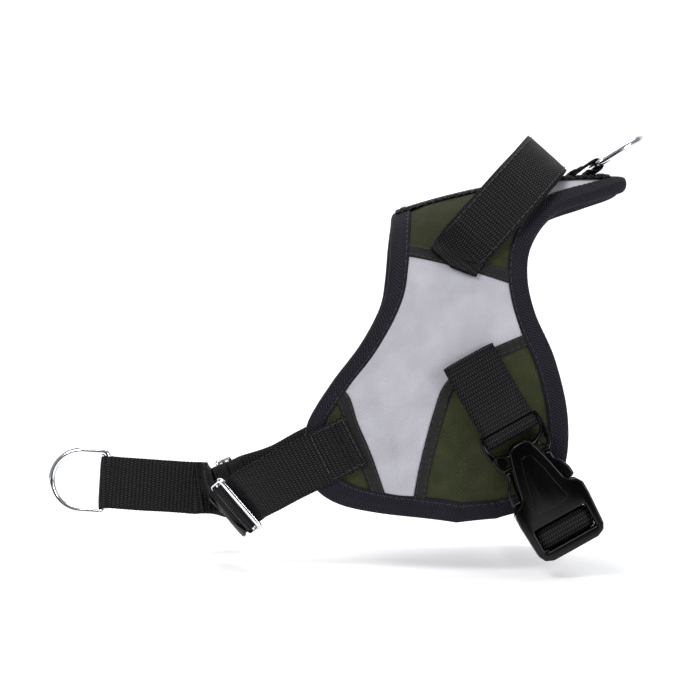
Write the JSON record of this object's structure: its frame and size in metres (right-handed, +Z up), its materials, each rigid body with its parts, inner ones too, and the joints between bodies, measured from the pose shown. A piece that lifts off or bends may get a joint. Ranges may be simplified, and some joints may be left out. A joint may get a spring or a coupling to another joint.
{
  "type": "safety harness vest",
  "caption": "Small pet safety harness vest: padded saddle with reflective flanks, top handle, two lead D-rings, chest strap and side-release girth buckle.",
  "frame": {"origin": "on the spine's inner line where the vest rests on the wearer's back, under the handle's feet", "axes": "+X rearwards along the spine (the head is at -X), +Y to the wearer's right, +Z up, as worn"},
  "size_m": [0.288, 0.1386, 0.1972],
  "materials": {
    "olive_fabric": "matte",
    "reflective_fabric": "satin",
    "ribbon": "matte",
    "binding": "matte",
    "webbing": "satin",
    "thread": "satin",
    "foam": "matte",
    "lining_mesh": "matte",
    "plastic": "satin",
    "chrome": "polished"
  },
  "bodies": {
    "root": {"foam_core": "foam", "inner_lining": "lining_mesh", "yoke_panel": "olive_fabric", "tongue_panel": "reflective_fabric", "reflective_panel_left": "reflective_fabric", "reflective_panel_right": "reflective_fabric", "girth_panel_left": "olive_fabric", "girth_panel_right": "olive_fabric", "chest_panel_left": "olive_fabric", "chest_panel_right": "olive_fabric", "yoke_ribbon_left": "ribbon", "yoke_ribbon_right": "ribbon", "girth_ribbon_left": "ribbon", "girth_ribbon_right": "ribbon", "chest_ribbon_left": "ribbon", "chest_ribbon_right": "ribbon", "edge_binding": "binding", "spine_webbing": "webbing", "back_ring_tab": "webbing", "handle_end_left": "webbing", "handle_end_right": "webbing", "chest_stub_left": "webbing", "chest_stub_right": "webbing", "girth_stub": "webbing", "belly_strap": "webbing", "buckle_male": "plastic"},
    "back_ring": {"back_ring": "chrome"},
    "handle": {"handle": "webbing"},
    "chest_strap": {"chest_webbing": "webbing", "chest_bartack": "thread"},
    "slide_left": {"slide_left": "chrome"},
    "slide_right": {"slide_right": "chrome"},
    "chest_ring": {"chest_ring": "chrome"},
    "socket": {"buckle_female": "plastic"},
    "latch_rear": {"latch_arm_rear": "plastic"},
    "latch_front": {"latch_arm_front": "plastic"}
  },
  "joints": [
    {"name": "back_ring_swivel", "type": "hinge", "parent": "root", "child": "back_ring", "pos_m": [0.06, 0, 0.01775], "axis": [0, 1, 0], "range_deg": [-80, 30]},
    {"name": "handle_fold", "type": "hinge", "parent": "root", "child": "handle", "pos_m": [0.0007, 0, -0.0162], "axis": [0, 1, 0], "range_deg": [-70, 0], "deforming": ["handle_end_left", "handle_end_right"]},
    {"name": "chest_strap_swing", "type": "hinge", "parent": "root", "child": "chest_strap", "pos_m": [-0.08, 0, -0.1239], "axis": [0, 1, 0], "range_deg": [-12, 18], "deforming": ["chest_stub_left", "chest_stub_right"]},
    {"name": "slide_left_rock", "type": "hinge", "parent": "chest_strap", "child": "slide_left", "pos_m": [-0.111, -0.03, -0.1436], "axis": [0.651, 0, -0.759], "range_deg": [-12, 12], "deforming": ["chest_stub_left", "chest_webbing"]},
    {"name": "slide_right_rock", "type": "hinge", "parent": "chest_strap", "child": "slide_right", "pos_m": [-0.117, 0.028, -0.139], "axis": [0.3401, 0, -0.9404], "range_deg": [-12, 12], "deforming": ["chest_stub_right", "chest_webbing"]},
    {"name": "chest_ring_swivel", "type": "hinge", "parent": "chest_strap", "child": "chest_ring", "pos_m": [-0.176, 0, -0.1346], "axis": [-0.06, 0, -0.9982], "range_deg": [-95, 95]},
    {"name": "buckle_release", "type": "slide", "parent": "root", "child": "socket", "axis": [0.4868, 0, -0.8735], "range_m": [0, 0.03], "deforming": ["belly_strap"]},
    {"name": "latch_rear_pinch", "type": "hinge", "parent": "root", "child": "latch_rear", "pos_m": [0.02907, -0.068, -0.11529], "axis": [0, 1, 0], "range_deg": [0, 7], "stiffness_Nm_per_rad": 0.4},
    {"name": "latch_front_pinch", "type": "hinge", "parent": "root", "child": "latch_front", "pos_m": [0.01195, -0.068, -0.12483], "axis": [0, 1, 0], "range_deg": [-7, 0], "stiffness_Nm_per_rad": 0.4}
  ],
  "couplings": [
    {"joint": "latch_front_pinch", "follows": "latch_rear_pinch", "ratio": -1}
  ]
}
